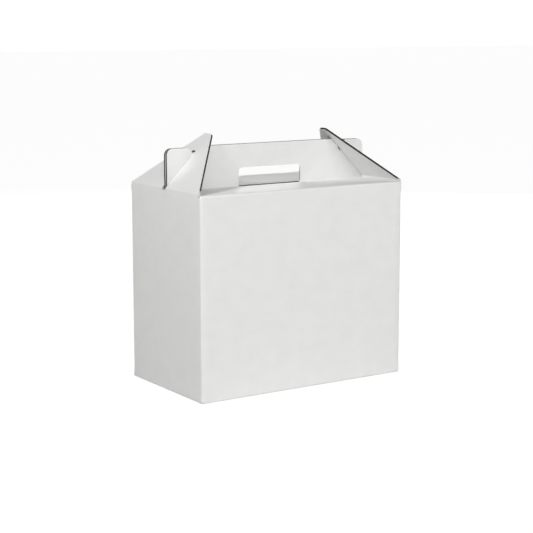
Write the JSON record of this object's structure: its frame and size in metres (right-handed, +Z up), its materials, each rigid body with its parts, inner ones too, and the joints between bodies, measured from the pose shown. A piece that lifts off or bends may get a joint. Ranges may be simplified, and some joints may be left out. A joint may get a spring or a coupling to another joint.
{
  "type": "gable box",
  "caption": "Gable-top carry carton of white corrugated board, with a hand-hole handle locked through slotted end flaps.",
  "frame": {"origin": "centre of the bottom, on the surface the box stands on", "axes": "+X along the length towards the right end flap, +Y towards the back (the glued seam is on the back right corner), +Z up"},
  "size_m": [0.34, 0.194, 0.3577],
  "materials": {
    "board": "matt white liner"
  },
  "bodies": {
    "carton": {"carton": "board"},
    "left_flap": {"left_end_flap": "board"},
    "right_flap": {"right_end_flap": "board"}
  },
  "joints": [
    {"name": "left_flap_fold", "type": "hinge", "parent": "carton", "child": "left_flap", "pos_m": [-0.1685, 0, 0.2845], "axis": [0, -1, 0], "range_deg": [0, 135]},
    {"name": "right_flap_fold", "type": "hinge", "parent": "carton", "child": "right_flap", "pos_m": [0.1685, 0, 0.2845], "axis": [0, 1, 0], "range_deg": [0, 135]}
  ]
}
